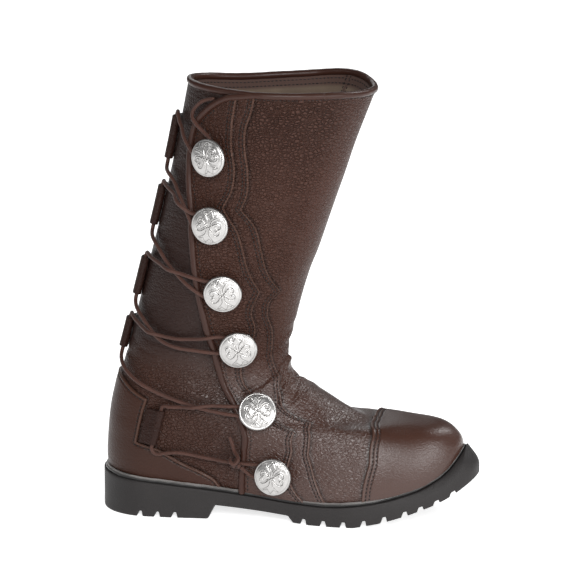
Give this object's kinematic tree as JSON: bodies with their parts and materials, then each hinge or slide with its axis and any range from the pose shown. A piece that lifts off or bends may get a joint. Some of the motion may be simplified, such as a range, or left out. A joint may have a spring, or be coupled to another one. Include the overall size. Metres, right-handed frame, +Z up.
{
  "type": "mid-calf boot",
  "caption": "Mid-calf leather wrap boot for the right foot: hollow upper with toe cap, domed buttons and a cord through rear tabs, on a lugged rubber sole.",
  "frame": {"origin": "on the heel's tread, in the middle of its front lug", "axes": "+X toward the toe, +Y toward the inner side of the foot, +Z up from the floor"},
  "size_m": [0.3112, 0.1214, 0.3599],
  "materials": {
    "leather": "dark brown pebbled leather, semi gloss",
    "dark_leather": "darker brown smooth leather",
    "tab_leather": "dark brown leather strip",
    "rubber": "matte black moulded rubber",
    "welt": "black, slightly glossy",
    "insole": "tan leather board",
    "silver": "antique silver, dark in the grooves",
    "cord": "reddish brown round leather cord"
  },
  "bodies": {
    "root": {"outsole": "rubber", "welt": "welt", "insole": "insole", "upper": "leather", "toe_cap": "leather", "heel_counter": "dark_leather", "facing_wide": "leather", "facing_narrow": "dark_leather", "flap_binding": "dark_leather", "collar_binding": "dark_leather", "lace": "cord", "lace_knot": "cord", "button_1": "silver", "button_2": "silver", "button_3": "silver", "button_4": "silver", "button_5": "silver", "button_6": "silver", "lace_tab_1": "tab_leather", "lace_tab_2": "tab_leather", "lace_tab_3": "tab_leather", "lace_tab_4": "tab_leather", "lace_tab_5": "tab_leather"}
  },
  "joints": []
}
